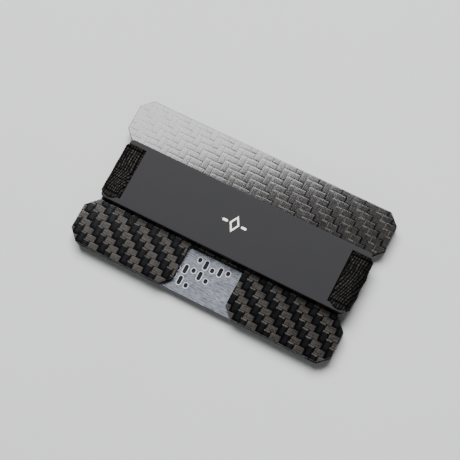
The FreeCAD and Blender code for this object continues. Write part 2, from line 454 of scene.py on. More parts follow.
def rims(node, height):
    """The closed rims of a CAD node's flat faces at one height, as arrays of (x, y)."""
    mesh = frame["nodes"][node].data
    sides = set()
    for polygon in mesh.polygons:
        corners = [mesh.vertices[i].co for i in polygon.vertices]
        if max(abs(corner.z - height) for corner in corners) < FLAT:
            keys = [(round(corner.x, PLACES), round(corner.y, PLACES)) for corner in corners]
            sides.update(zip(keys, keys[1:] + keys[:1]))
    onward = {start: end for start, end in sides if (end, start) not in sides}
    loops = []
    while onward:
        loop = [min(onward)]
        while onward.get(loop[-1]) is not None:
            loop.append(onward.pop(loop[-1]))
        loops.append(np.array(loop[:-1]))
    return sorted(loops, key=lambda loop: -abs(area(loop)))


def area(loop):
    """The signed area of a loop: positive when it runs anticlockwise."""
    ahead = np.roll(loop, -1, axis=0)
    return 0.5 * float(np.sum(loop[:, 0] * ahead[:, 1] - ahead[:, 0] * loop[:, 1]))


def turned(loop, anticlockwise):
    return loop if (area(loop) > 0) == anticlockwise else loop[::-1]


def inset(loop, distance):
    """The loop moved to its left, with mitred corners."""
    back = loop - np.roll(loop, 1, axis=0)
    ahead = np.roll(loop, -1, axis=0) - loop
    normals = []
    for step in (back, ahead):
        step = step / np.linalg.norm(step, axis=1)[:, None]
        normals.append(np.column_stack((-step[:, 1], step[:, 0])))
    spread = 1 + np.sum(normals[0] * normals[1], axis=1)
    return loop + (normals[0] + normals[1]) * (distance / spread)[:, None]


plate_rims = rims("top_plate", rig.box("top_plate")[0].z)
print("upper plate's rim has", len(plate_rims[0]), "corners")

# %% [markdown]
# ## Flat stock with rolled edges
#
# A real plate's edge is broken with a file or a cutter, and the thin bright line along it is what
# tells the eye that it is hard and solid. A Bevel modifier would do it, but its result depends on
# how the flat faces happen to be split. Here each edge is lofted instead: a few copies of the rim,
# each a little further in and a little further down a quarter circle. The flat faces are filled
# between the last copies.

# %% Lofting a slab
ROLL_STEPS = 4
FACE, WALL, SUNK = 0, 1, 2


def lower_roll(low, radius):
    """(inset, height) pairs that roll up from the bottom face to the wall."""
    angles = [math.pi / 2 * i / ROLL_STEPS for i in range(ROLL_STEPS + 1)]
    return [(radius * (1 - math.sin(a)), low + radius * (1 - math.cos(a))) for a in angles]


def upper_roll(high, radius):
    """(inset, height) pairs that roll from the wall over to the top face."""
    angles = [math.pi / 2 * i / ROLL_STEPS for i in range(ROLL_STEPS + 1)]
    return [(radius * (1 - math.cos(a)), high - radius * (1 - math.sin(a))) for a in angles]


def loft(shape, loop, profile, slots):
    """Skins one rim through the profile. Returns the first and last ring's edges."""
    rings = []
    for distance, height in profile:
        points = inset(loop, distance)
        rings.append([shape.verts.new((x, y, height)) for x, y in points])
    count = len(loop)
    for lower, upper, slot in zip(rings, rings[1:], slots):
        for i in range(count):
            j = (i + 1) % count
            shape.faces.new((lower[i], lower[j], upper[j], upper[i])).material_index = slot
    ends = []
    for ring in (rings[0], rings[-1]):
        ends.append([shape.edges.get((ring[i], ring[(i + 1) % count])) for i in range(count)])
    return ends


def fill(shape, edges, slot):
    """Fills a flat region between rims, leaving its holes open."""
    made = bmesh.ops.triangle_fill(shape, edges=edges, use_beauty=True)
    for item in made["geom"]:
        if isinstance(item, bmesh.types.BMFace):
            item.material_index = slot


def pocket_wall(high, depth, slope):
    """(inset, height) pairs from a pocket's floor up to the face round it, as a soft S."""
    return [(-slope / 2, high - depth), (0, high - 0.8 * depth),
            (slope / 2, high - 0.2 * depth), (slope, high)]


def add_slab(shape, outer, low, high, rolls, sunk=(), depth=0.0, slope=0.0):
    """Flat stock from low to high. sunk are rims of shallow pockets in its top face."""
    low_roll, high_roll = rolls
    profile = lower_roll(low, low_roll) + upper_roll(high, high_roll)
    slots = [FACE] * ROLL_STEPS + [WALL] + [FACE] * ROLL_STEPS
    bottom, top = loft(shape, turned(outer, True), profile, slots)
    fill(shape, bottom, FACE)
    floors = []
    for loop in sunk:
        ends = loft(shape, loop, pocket_wall(high, depth, slope), [SUNK] * 3)
        floors += ends[0]
        top += ends[1]
    fill(shape, top, FACE)
    if floors:
        fill(shape, floors, SUNK)


print("a rolled edge has", len(upper_roll(0, 1)), "rings")

# %% [markdown]
# Shading is smooth round a rolled edge and broken where a pocket's wall meets the flat face. Left
# smooth there, long thin triangles would carry the wall's shading far out across the face.

# %% From shape to piece
SHARP_ANGLE = math.radians(35)


def finish_piece(name, shape, materials, body, nodes, slot):
    """Turns the built shape into a piece that rides on a body and stands for CAD nodes."""
    bmesh.ops.recalc_face_normals(shape, faces=shape.faces[:])
    for face in shape.faces:
        face.smooth = True
    for edge in shape.edges:
        at_pocket = {face.material_index for face in edge.link_faces} == {FACE, SUNK}
        edge.smooth = edge.calc_face_angle(0.0) < SHARP_ANGLE and not at_pocket
    mesh = bpy.data.meshes.new(name)
    shape.to_mesh(mesh)
    shape.free()
    for material in materials:
        mesh.materials.append(material)
    piece = bpy.data.objects.new(name, mesh)
    bpy.context.scene.collection.objects.link(piece)
    even = piece.modifiers.new("even_normals", "WEIGHTED_NORMAL")
    even.keep_sharp = True
    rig.ride(piece, body)
    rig.replaces(piece, *nodes)
    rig.slot(piece, slot)
    print(name, "has", len(mesh.polygons), "faces")


print("edges sharper than", round(math.degrees(SHARP_ANGLE)), "degrees stay crisp")

# %% [markdown]
# ## Carbon laminate
#
# The cloth in these plates is a two-by-two twill: every strand goes over two and under two, and
# each row starts one strand further along, which draws the diagonal steps. A picture of weave
# would blur up close. Worked out instead, it stays sharp: count strands both ways, add the two
# counts, and the remainder after dividing by four says which strand is on top. The strands that
# run along the plate catch the light, and those that run across it stay dark.

# %% Twill
STRAND_X, STRAND_Y = 2.062, 2.0
TWILL_START_X, TWILL_START_Y = 6.0, 1.1
COLUMN_SEED, ROW_SEED, FIRST_ROW_SEED = 7.13, 3.71, 40
WANDER = 0.3


def twill(finish, x, y):
    """Where we are in the cloth: lengthwise strand on top?, place across and along the strand."""
    u = (x - TWILL_START_X) / STRAND_X
    v = (y - TWILL_START_Y) / STRAND_Y
    column, row = u.floor(), v.floor()
    in_column, in_row = u - column, v - row
    step = (column + row) % 4
    lengthwise = step < 1.5
    along = finish.pick(lengthwise, (step - 2 + in_row) / 2, (step + in_column) / 2)
    across = finish.pick(lengthwise, in_column, in_row)
    strand = finish.pick(lengthwise, column * COLUMN_SEED, row * ROW_SEED + FIRST_ROW_SEED)
    return lengthwise, across, along, strand


def laid_cloth(finish, x, y, z):
    """The twill with strands that wander a little, as cloth laid by hand does."""
    aside = finish.noise(finish.vector(x, y, z), 0.35, 1.0)
    ahead = finish.noise(finish.vector(y, x, z), 0.31, 1.0)
    return twill(finish, x + aside * WANDER - WANDER / 2, y + ahead * WANDER - WANDER / 2)


print("one repeat of the twill, mm:", 4 * STRAND_X, "by", 4 * STRAND_Y)

# %% [markdown]
# Four masks describe each visible stretch of strand, from 0 to 1. `dive_and_shade` is where it dives under
# a neighbour, with painted shade on its side away from the light. `lit` is how much it faces the
# light, painted into its colour: a lengthwise strand does nearly all along, and one that runs across
# shows only a bright cap at its far end. `glint` is a painted highlight on the bend at that end. The
# tone comes from noise that is stretched along the strand, as filaments are.
#
# Under the broad sheen at the back of the plate the two kinds of strand look more alike, and at
# its left they all but merge, so the masks ease off there: a painted sheen that brightens the strands
# that run across. That is set by place on the plate, so it stays put when the view turns.

# %% Masks over the cloth
EASED_OFF = 0.85


# Painted shade as well as a dark joint: the dark of a dive is put only on the right end and lower side of a lengthwise
# strand, and on the near end and left side of one that runs across.
def dive_and_shade_mask(finish, cloth, ragged, at_back, at_sheen):
    lengthwise, across = cloth[:2]
    lower_side = (1 - finish.ease(across, 0.0, 0.11)) * (1 - EASED_OFF * at_back)
    left_side = (1 - finish.ease(across, 0.0, 0.10)) * (1 - EASED_OFF * at_sheen)
    right_end = finish.ease(ragged, 0.86, 0.94) * (1 - EASED_OFF * at_sheen)
    near_end = 1 - finish.ease(ragged, 0.03, 0.12)
    return finish.pick(lengthwise, near_end.math("MAXIMUM", left_side),
                       right_end.math("MAXIMUM", lower_side))


# Painted light: how bright each strand is painted by how it faces the light; at the back the two kinds are painted
# closer together, as painted sheen.
def lit_mask(finish, x, cloth, ragged, at_back):
    caps = finish.ease(ragged, 0.82, 0.90) * (0.50 + 0.45 * finish.ease(x, -30.0, 25.0))
    lit_across = caps * (1 - 0.45 * at_back) + 0.42 * at_back
    lit_lengthwise = finish.ease(ragged, 0.10, 0.18) * (1 - 0.42 * at_back)
    return finish.pick(cloth[0], lit_across, lit_lengthwise)


# A painted highlight: a bright line where each strand bends at its far end.
def glint_mask(finish, cloth, ragged):
    glint_across = finish.band(ragged, 0.88, 0.93, 0.96, 1.0)
    glint_lengthwise = finish.band(ragged, 0.08, 0.12, 0.14, 0.19)
    return finish.pick(cloth[0], glint_across, glint_lengthwise)


def yarn_tone(finish, x, y, cloth, streak):
    """Each strand's own tone, its filaments, soft patches, and painted shade that darkens it slowly towards +X."""
    along, strand = cloth[2:]
    own = finish.noise(finish.vector(strand, along * 0.5, 0.0), 1.7, 1.0)
    patch = finish.noise(finish.vector(x * 2.2, y * 0.5, strand), 1.0, 1.0)
    mottle = finish.noise(finish.vector(x * 0.8, y * 1.6, strand), 3.2, 2.0)
    shade_to_right = 0.28 * finish.ease(x, -5.0, 35.0)
    return 0.9 * own + 1.5 * streak + 1.4 * mottle + 0.5 * patch - 1.62 - shade_to_right


print("the masks ease off by", EASED_OFF)

# %% [markdown]
# One glossy layer of resin covers the cloth, so there is one glossy shader, with a gentle relief.
# Where a strand dips, and over the unlit strands away from the back, a Mix Shader goes over to a
# matt black: painted shade. The strands that run across take more of it at both sides, where they
# dip, which sets them apart.

# %% Carbon finish
# Painted light and shade on one yarn: lit strands take colours from YARN_DULL to YARN_BRIGHT, and strands in painted
# shade from YARN_BLACK to YARN_DARK.
YARN_DULL, YARN_BRIGHT = (0.017, 0.015, 0.014, 1), (0.102, 0.091, 0.083, 1)
YARN_BLACK, YARN_DARK = (0.0004, 0.0004, 0.0005, 1), (0.0140, 0.0142, 0.0172, 1)
# The colour of the painted highlight on each strand's bend.
GLINT_COLOUR = (0.200, 0.180, 0.150, 1)
FIBRES_TO_A_STRAND = 11


def carbon_face():
    """Woven strands under a clear resin."""
    finish = Finish("carbon_weave")
    x, y, z = finish.place()
    at_back = finish.ease(y, -8.0, 12.0)
    at_sheen = at_back * (1 - finish.ease(x, -12.0, 26.0))
    at_corner = at_back * (1 - finish.ease(x, -42.0, 2.0))
    cloth = laid_cloth(finish, x, y, z)
    across, along, strand = cloth[1:]
    from_middle = (across * 2 - 1).size()
    from_centre = (along * 2 - 1).size()
    gap = finish.ease(from_middle, 0.82, 1.0)
    tuck = finish.ease(from_centre, 0.86, 1.0)
    fibre = ((across * (FIBRES_TO_A_STRAND * math.tau)).math("SINE") + 1) / 2
    streak = finish.noise(finish.vector(across * 8, along * 1.2, strand), 1.3, 2.0)
    ragged = along + 0.08 * streak - 0.04

    dive_and_shade = dive_and_shade_mask(finish, cloth, ragged, at_back, at_sheen)
    lit = lit_mask(finish, x, cloth, ragged, at_back) * (1 - dive_and_shade)
    glint = glint_mask(finish, cloth, ragged) * (1 - gap) * (0.12 + 0.5 * streak)
    tone = yarn_tone(finish, x, y, cloth, streak)
    bright = finish.blend(tone, YARN_DULL, YARN_BRIGHT)
    dim = (tone + 0.3 * fibre) * (1 - gap) * (1 - dive_and_shade)
    woven = finish.blend(lit, finish.blend(dim, YARN_BLACK, YARN_DARK), bright)
    relief = 0.005 * (1 - from_middle ** 4.0) * (1 - from_centre ** 6.0) + 0.0004 * fibre
    resin = finish.surface({
        "Base Color": finish.blend(glint, woven, GLINT_COLOUR),
        "Roughness": 0.10 + 0.04 * gap + 0.03 * tuck,
        "Normal": finish.relief(relief),
        "IOR": 1.7,
    })

    # A matt black surface that stands in for painted shade.
    sockets = {"Base Color": grey(0.001), "Roughness": 0.9, "Specular IOR Level": 0.0}
    painted_shade_black = finish.surface(sockets)
    raised = finish.band(across, 0.02, 0.35, 0.70, 1.0) * finish.ease(ragged, 0.06, 0.35)
    unlit_shade = (0.68 - 0.56 * raised) * (1 - lit) * (1 - at_back)
    # How far the painted-shade black covers the gloss: at each dive, less at the back left, and over unlit strands.
    depth = (dive_and_shade * (0.8 - 0.55 * at_corner)).math("MAXIMUM", unlit_shade)
    return finish.done(finish.mixed(depth, resin, painted_shade_black))


def carbon_edge():
    """The cut edge: thin dark layers of cloth seen end on."""
    finish = Finish("carbon_cut_edge")
    x, y, z = finish.place()
    layer = finish.noise(finish.vector(x * 0.25, y * 0.25, z * 9), 1.0, 2.0)
    colour = finish.blend(layer, (0.003, 0.003, 0.003, 1), (0.016, 0.016, 0.015, 1))
    relief = finish.relief(0.012 * layer)
    return finish.done(finish.surface({
        "Base Color": colour,
        "Roughness": 0.5,
        "Normal": relief,
        "Specular IOR Level": 0.1,
    }))


carbon = [carbon_face(), carbon_edge()]

# %% Plates
PLATE_OUTER_ROLL = 0.26 * MM
PLATE_INNER_ROLL = 0.08 * MM


def add_plate(node, body, rolls):
    """One plate, from the rim of the face that lies against the card."""
    low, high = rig.box(node)
    inner = low.z if node == "top_plate" else high.z
    shape = bmesh.new()
    add_slab(shape, rims(node, inner)[0], low.z, high.z, rolls)
    finish_piece("carbon_" + node, shape, carbon, body, [node], "carbon_laminate")


add_plate("top_plate", "upper", (PLATE_INNER_ROLL, PLATE_OUTER_ROLL))
add_plate("bottom_plate", "base", (PLATE_OUTER_ROLL, PLATE_INNER_ROLL))

# %% [markdown]
# ## The clip plate
#
# One rigid plate, black all over with a fine matt skin. Its engraving is cut through that skin
# down to bare metal, so the sunk faces get a finish of their own. At each end a thin bar joins
# the two tabs, lower than the top face, for the elastic to go over.

# %% Black metal and bare metal
def black_metal():
    finish = Finish("matt_black_metal")
    x, y, z = finish.place()
    point = finish.vector(x, y, z)
    grain = finish.noise(point, 14.0, 2.0)
    cloud = finish.noise(point, 0.12, 2.0)
    colour = finish.blend(cloud, (0.018, 0.0175, 0.0195, 1), (0.026, 0.0253, 0.0278, 1))
    rough = 0.50 + 0.06 * cloud + 0.06 * grain
    relief = finish.relief(0.004 * grain)
    return finish.done(finish.surface({
        "Base Color": colour,
        "Roughness": rough,
        "Normal": relief,
        "Specular IOR Level": 0.2,
    }))


def bare_metal():
    finish = Finish("engraved_bare_metal")
    x, y, z = finish.place()
    lines = finish.noise(finish.vector(x * 0.4, y * 9, z), 2.5, 2.0)
    colour = finish.blend(lines, (0.62, 0.58, 0.50, 1), (0.86, 0.83, 0.74, 1))
    relief = finish.relief(0.006 * lines)
    sockets = {"Base Color": colour, "Roughness": 0.45, "Metallic": 0.6, "Normal": relief}
    return finish.done(finish.surface(sockets))


black = black_metal()
clip_finishes = [black, black, bare_metal()]

# %% Clip plate
CLIP_ROLL = 0.2 * MM
CLIP_UNDER_ROLL = 0.08 * MM
BAR_ROLL = 0.3 * MM
BAR_HEIGHT_LIMIT = 1.0 * MM
POCKET_DEPTH = 0.12 * MM
ENGRAVING_SLOPE = 0.04 * MM
BAR_OVERLAP = 0.3 * MM


def rectangle(low, high):
    return np.array([(low[0], low[1]), (high[0], low[1]), (high[0], high[1]), (low[0], high[1])])


def heights(node):
    """Every height at which a CAD node has a corner, lowest first."""
    return sorted({round(corner.co.z, 6) for corner in frame["nodes"][node].data.vertices})


def pocket_floor(node):
    """The height of the floors of the shallow pockets in a node's top face."""
    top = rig.box(node)[1].z
    return max(height for height in heights(node) if height < top - 0.5 * POCKET_DEPTH)


def add_bar(shape, slot, outline, top):
    """The thin bar between one slot and the end of the clip."""
    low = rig.box("clip_plate")[0].z
    front, back = slot[:, 1].min(), slot[:, 1].max()
    middle = outline[(outline[:, 1] > front - BAR_OVERLAP) & (outline[:, 1] < back + BAR_OVERLAP)]
    if slot[0, 0] > 0:
        ends = slot[:, 0].max(), middle[:, 0].max()
    else:
        ends = middle[:, 0].min(), slot[:, 0].min()
    bar = rectangle((ends[0], front - BAR_OVERLAP), (ends[1], back + BAR_OVERLAP))
    add_slab(shape, bar, low, top, (CLIP_UNDER_ROLL, BAR_ROLL))
    print("bar from x", round(ends[0] / MM, 2), "to", round(ends[1] / MM, 2))


def add_clip():
    """The flat plate with its two tabs an end, its engraving, and the bar at each end."""
    low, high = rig.box("clip_plate")
    outline = inset(turned(rims("clip_plate", high.z)[0], True), -CLIP_ROLL)
    engraved = pocket_floor("clip_plate")
    # Reversed, so that an outline and the island inside it keep opposite turns.
    sunk = [loop[::-1] for loop in rims("clip_plate", engraved)]
    shape = bmesh.new()
    rolls = (CLIP_UNDER_ROLL, CLIP_ROLL)
    add_slab(shape, outline, low.z, high.z, rolls, sunk, high.z - engraved, ENGRAVING_SLOPE)
    bar_top = max(height for height in heights("clip_plate") if height < low.z + BAR_HEIGHT_LIMIT)
    under, *slots = rims("clip_plate", low.z)[:3]
    for slot in slots:
        add_bar(shape, slot, under, bar_top)
    finish_piece("black_clip_plate", shape, clip_finishes, "clip", ["clip_plate"], "black_metal")


add_clip()

# %% [markdown]
# ## The elastic
#
# The strap is a narrow woven elastic: cords lie side by side across it, tight binding threads
# pinch each cord into beads, and a smooth selvedge finishes both edges. It could be a flat strip
# with a bump texture, but its edge would stay straight and its cords would not cast shade on each
# other. So it is swept: a rounded cross-section is carried along the loop's path in steps finer
# than a cord, and each point is pushed in between the cords.
#
# The path comes first. It is a chain of straight runs with rounded corners, worked out from the
# middle outward, once for each end.

# %% The loop's path
run_low, run_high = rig.box("band_bottom_run")
under_low, under_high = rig.box("band_top_run")
BAND_THICKNESS = (run_high.z - run_low.z) / MM
BAND_WIDTH = (run_high.y - run_low.y) / MM
BAND_MIDDLE = (run_high.y + run_low.y) / 2 / MM
RUN_END = round(run_high.x / MM, 3)
PLATE_TOP = round(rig.box("top_plate")[1].z / MM, 3)
CLIP_UNDER = round(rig.box("clip_plate")[0].z / MM, 3)
END_TURN, LEG_GAP, PLAY = 43.6, 6.4, 0.04
CORNER_RADII = (0.8, 2.0, 1.5, 0.75, 0.6)
PATH_STEP = 0.02
ROLL_OUT_HEIGHT, ROLL_IN_HEIGHT = 6.2, 6.6
print("run ends at", RUN_END, "plate top", PLATE_TOP, "clip's underside", CLIP_UNDER)


def path_corners(side):
    """The corners of the loop's centre-line at one end, in mm, with x growing outward."""
    low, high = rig.box("band_right_loop" if side > 0 else "band_left_loop")
    half = BAND_THICKNESS / 2
    outer = (high.x if side > 0 else -low.x) / MM - half
    bottom = run_low.z / MM + half
    under = (under_low.z + under_high.z) / 2 / MM
    over = high.z / MM - half
    plate_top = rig.box("top_plate")[1].z / MM
    inner = outer - LEG_GAP
    return [(0, bottom), (END_TURN, bottom), (outer, plate_top + PLAY), (outer, over),
            (inner, over), (inner, under), (0, under)]


# %% Rounding the path
def rounded_path(corners, radii):
    """Points every PATH_STEP along a chain of runs whose corners are rounded."""
    corners = [np.array(corner, float) for corner in corners]
    chain = [corners[0]]
    for before, corner, after, radius in zip(corners, corners[1:], corners[2:], radii):
        back = (before - corner) / np.linalg.norm(before - corner)
        ahead = (after - corner) / np.linalg.norm(after - corner)
        half_angle = math.acos(np.clip(back @ ahead, -1, 1)) / 2
        inward = (back + ahead) / np.linalg.norm(back + ahead)
        centre = corner + inward * radius / math.sin(half_angle)
        start = corner + back * radius / math.tan(half_angle) - centre
        stop = corner + ahead * radius / math.tan(half_angle) - centre
        sweep = math.pi - 2 * half_angle
        steps = max(2, int(sweep * radius / PATH_STEP))
        for i in range(steps + 1):
            share = i / steps
            mix = start * math.sin(sweep * (1 - share)) + stop * math.sin(sweep * share)
            chain.append(centre + mix / math.sin(sweep))
    chain.append(corners[-1])
    chain = np.array(chain)
    length = np.concatenate(([0], np.cumsum(np.linalg.norm(np.diff(chain, axis=0), axis=1))))
    even = np.arange(0, length[-1], PATH_STEP)
    return even, np.column_stack([np.interp(even, length, chain[:, i]) for i in range(2)])


class Path:
    """The loop's centre-line at one end: where it is and which way is out, by distance along it."""

    def __init__(self, side):
        self.side = side
        self.length, self.points = rounded_path(path_corners(side), CORNER_RADII)
        along = np.gradient(self.points, PATH_STEP, axis=0)
        along /= np.linalg.norm(along, axis=1)[:, None]
        self.out = np.column_stack((along[:, 1], -along[:, 0]))
        self.rise = self.first(lambda x, z: x > RUN_END)
        self.plate = self.first(lambda x, z: z > PLATE_TOP)
        self.bar = self.first(lambda x, z: z > CLIP_UNDER)
        self.slot = self.first(lambda x, z: z < CLIP_UNDER, after=self.bar + 1)
        self.turn_out = self.first(lambda x, z: z > ROLL_OUT_HEIGHT)
        self.turn_in = self.first(lambda x, z: z < ROLL_IN_HEIGHT, after=self.turn_out + 1)

    def first(self, test, after=0.0):
        """The distance at which the centre-line first passes a test."""
        good = test(self.points[:, 0], self.points[:, 1]) & (self.length > after)
        return float(self.length[np.argmax(good)])

    def at(self, distance):
        """The point at a distance along the path, and the unit direction out of the loop."""
        place = [np.interp(distance, self.length, self.points[:, i]) for i in range(2)]
        out = [np.interp(distance, self.length, self.out[:, i]) for i in range(2)]
        size = np.hypot(*out)
        return place, [out[0] / size, out[1] / size]


paths = {side: Path(side) for side in (-1, 1)}
for side, path in paths.items():
    print("end", side, "path", round(path.length[-1], 1), "mm, over the bar from",
          round(path.bar, 1), "to", round(path.slot, 1))

# %% [markdown]
# The cross-section is a flat strip with rounded edges, listed once round. Each of its points has
# a place across the strap, a height off the centre-line and the direction that faces out of it.

# %% Cross-section
EDGE_ROUND, HALF_THICK = 0.45, 0.5
ACROSS_STEP = 0.16
EDGE_STEPS, UNDER_POINTS = 12, 24


def cross_section():
    """Rows of place across, height, and the two parts of the direction out."""
    flat = BAND_WIDTH / 2 - EDGE_ROUND
    count = int(2 * flat / ACROSS_STEP)
    edge = []
    for i in range(1, EDGE_STEPS):
        turn = math.pi / 2 - math.pi * i / EDGE_STEPS
        across, up = math.cos(turn), math.sin(turn)
        edge.append((flat + EDGE_ROUND * across, HALF_THICK * up, across, up))
    points = [(q, HALF_THICK, 0, 1) for q in np.linspace(-flat, flat, count)] + edge
    points += [(q, -HALF_THICK, 0, -1) for q in np.linspace(flat, -flat, UNDER_POINTS)]
    points += [(-q, p, -face_q, face_p) for q, p, face_q, face_p in reversed(edge)]
    return np.array(points).T


section = cross_section()
print("cross-section has", section.shape[1], "points")

# %% [markdown]
# The weave comes next. It pushes points in between the cords, and pinches each cord into beads.
# The strap isn't pulled quite square, so the cords have slipped and lie at a slant. The cords'
# crests carry a painted highlight, strongest over the bar, and that is worked out here too.

# %% Weave
CORD, BEAD = 0.86, 0.98  # a cord's pitch along the strap, and a bead's across it
CORD_DEPTH, PINCH_DEPTH = 0.24, 0.10
HALF_WIDTH = BAND_WIDTH / 2
SELVEDGE, SELVEDGE_BLEND = 1.05, 0.2
GROOVE_DEPTH, GROOVE_WIDTH = 0.12, 0.12
SLANT_START, SLANT_FULL = 8, 36  # where the slant grows along the run, and how it ends
SLANT_HOLD, SLANT_END = 6, 30


def smooth(value, low, high):
    share = np.clip((value - low) / (high - low), 0, 1)
    return share * share * (3 - 2 * share)


def lean(path, distance, q):
    """How far the cords have slipped along the strap, by place across it."""
    if path.side < 0:
        inward = smooth(distance, path.turn_out, path.turn_in)
        return -(1.9 + 1.0 * inward) * smooth(-q, -0.6, 7.4)
    return 3.3 * smooth(-q, -3.5, 9.5) - 0.5 * smooth(q, 5.0, 8.5)


def highlight_strength(path, distance, q):
    """How strong the painted highlight on the crests is: most over the bar, less on the rolled lips."""
    gain = 0.4 + 0.6 * smooth(distance, path.turn_out + 0.4, path.turn_out + 2.8)
    gain = gain * (0.7 if path.side > 0 else 0.95)
    return gain * (1 - 0.55 * smooth(np.abs(q), HALF_WIDTH - 1.3, HALF_WIDTH - 0.9))


def weave(path, distance, q):
    """Depth below the cords' crests, in mm, and the painted highlight, strongest nearest the crests."""
    ending = smooth(distance, path.slot + SLANT_HOLD, path.slot + SLANT_END)
    slant = smooth(distance, SLANT_START, SLANT_FULL) * (1 - ending)
    jitter = 0.10 * np.sin(1.1 * distance + 0.35 * q) + 0.07 * np.sin(0.73 * q + 0.2 * distance)
    cord = (distance - lean(path, distance, q) * slant + jitter) / CORD
    bead = q / BEAD + 0.06 * np.sin(cord * 0.9)
    off_crest = np.abs((cord % 1) * 2 - 1)
    off_bead = np.abs((bead % 1) * 2 - 1)
    edge = smooth(np.abs(q), HALF_WIDTH - SELVEDGE, HALF_WIDTH - SELVEDGE + SELVEDGE_BLEND)
    valley = 1 - np.sqrt(np.clip(1 - 0.97 * off_crest ** 2, 0, 1))
    hole = 0.5 + 0.5 * (1 - off_bead ** 2)
    depth = CORD_DEPTH * valley * (hole * (1 - edge) + 0.7 * edge)
    depth = depth + PINCH_DEPTH * off_bead ** 6 * (1 - edge)
    groove = np.exp(-((np.abs(q) - (HALF_WIDTH - SELVEDGE)) / GROOVE_WIDTH) ** 2)
    depth = depth + GROOVE_DEPTH * groove
    # Painted highlight near each crest, strongest at a bead's middle; the holes between get none.
    crest = np.clip(1 - depth / (0.42 * CORD_DEPTH), 0, 1) ** 2.5 * (1 - 0.6 * off_bead ** 2)
    return depth, crest * highlight_strength(path, distance, q)


print("cords over the right bar:", int((paths[1].slot - paths[1].bar) / CORD))

# %% [markdown]
# Tension pulls a few soft waves into the upright stretches. The strap is a little wider than its
# slot, so over the bar its edges roll up onto the clip's tabs as two lips. Under the plate its two
# ends meet, thinned, at the seam. Each of these is a smooth bump added to the plain strip.

# %% Waves, lips and seam
FRONT_LIP, BACK_LIP = 1.3, 1.2  # widths that roll up, then slide, thin and lift by these
FRONT_SLIDE, BACK_SLIDE = 1.3, 0.5
FRONT_THIN, BACK_THIN = 0.45, 0.2
FRONT_LIFT, BACK_LIFT = 0.86, 0.42
BAR_CROWN = 0.10
SEAM_HALF, SEAM_SINK, SEAM_GAP = 2.1, 0.25, 0.08
SEAM_EDGE, SEAM_CUT = 0.15, 0.45


def waves(path, s, q):
    """Soft waves on the upright stretch, from above the lower corner to the bar."""
    rising = smooth(s, path.rise + 3.2, path.plate + 0.6)
    upright = rising * (1 - smooth(s, path.bar - 0.5, path.bar + 2.0))
    if path.side > 0:
        swell = 0.42 * np.exp(-((q - 2.4) / 1.6) ** 2) + 0.36 * np.exp(-((q + 3.9) / 2.0) ** 2)
    else:
        swell = 0.04 * np.sin(q * 0.9 + 0.4) + 0.06
    return swell * upright


def crease(path, s, q, over):
    """One slanting crease over the bar, deeper on the left."""
    line = np.exp(-((q - 0.6 - 0.12 * (s - path.turn_in)) / 0.28) ** 2)
    return -0.12 * line * over * (0.4 if path.side > 0 else 1.0)


def seam(s):
    """How far the outer face is sunk at the seam and cut at the gap in its middle."""
    thinned = 1 - smooth(s, SEAM_HALF - SEAM_EDGE, SEAM_HALF + SEAM_EDGE)
    gap = 1 - smooth(s, 0.5 * SEAM_GAP, 1.5 * SEAM_GAP)
    return SEAM_SINK * thinned + SEAM_CUT * gap


def band_rings(side, distance):
    """The strap's surface: one ring of points for each distance along one end's path."""
    path = paths[side]
    q, p, face_q, face_p = [row[None, :] for row in section]
    s = np.asarray(distance)[:, None]
    (x, z), (out_x, out_z) = path.at(s)
    depth, crest = weave(path, s, q)
    bar_share = np.clip((s - path.turn_out) / (path.turn_in - path.turn_out), 0, 1)
    over = np.sin(np.pi * bar_share) ** 0.8
    front = smooth(-q, HALF_WIDTH - FRONT_LIP, HALF_WIDTH) * over
    back = smooth(q, HALF_WIDTH - BACK_LIP, HALF_WIDTH) * over
    across = q - face_q * depth - FRONT_SLIDE * front + BACK_SLIDE * back
    up = (p - face_p * depth) * (1 - FRONT_THIN * front - BACK_THIN * back)
    up = up + FRONT_LIFT * front + BACK_LIFT * back
    crown = BAR_CROWN * over * (1 - (q / HALF_WIDTH) ** 2)
    up = up + crown + waves(path, s, q) + (crease(path, s, q, over) - seam(s)) * (p > 0)
    y = np.broadcast_to(BAND_MIDDLE + across, up.shape)
    points = np.stack(((x + out_x * up) * side, y, z + out_z * up), axis=2)
    return points, np.broadcast_to(crest, up.shape), np.broadcast_to(s * side, up.shape)


print("lips roll up over", FRONT_LIP, "and", BACK_LIP, "mm")

# %% [markdown]
# ## One strap, eight pieces
#
# The strap is one loop, but its stretches move with different bodies. When the plates open for
# more cards, or the clip lifts for notes, an upright stretch at each end grows longer. So it is
# cut where the CAD is cut. Neighbouring pieces share their last ring and the shading direction on
# it, which hides the joint at every pose.

# %% Skinning the strap
ALONG_STEP = 0.11


def stations(start, stop):
    return np.linspace(start, stop, max(2, int(round(abs(stop - start) / ALONG_STEP)) + 1))


def outward(side, distance, points):
    """The direction out of the strap's surface at every point of its rings."""
    step = ALONG_STEP / 2
    near = [band_rings(side, np.maximum(distance + move, 0))[0] for move in (-step, step)]
    around = np.roll(points, -1, axis=1) - np.roll(points, 1, axis=1)
    out = np.cross(near[1] - near[0], around)
    out /= np.maximum(np.linalg.norm(out, axis=2, keepdims=True), 1e-12)
    from_middle = points - points.mean(axis=1, keepdims=True)
    return out * math.copysign(1, np.sum(out * from_middle))


print("a ring every", ALONG_STEP, "mm")

# %% One stretch of the strap
def strap_rings(spans):
    """Rings, directions out and the two attributes, for spans joined end to end."""
    parts = []
    for side, start, stop in spans:
        distance = stations(start, stop)
        points, crest, along = band_rings(side, distance)
        rows = [points, outward(side, distance, points), crest, along]
        parts.append([row[1:] if parts else row for row in rows])
    return [np.concatenate(rows) for rows in zip(*parts)]


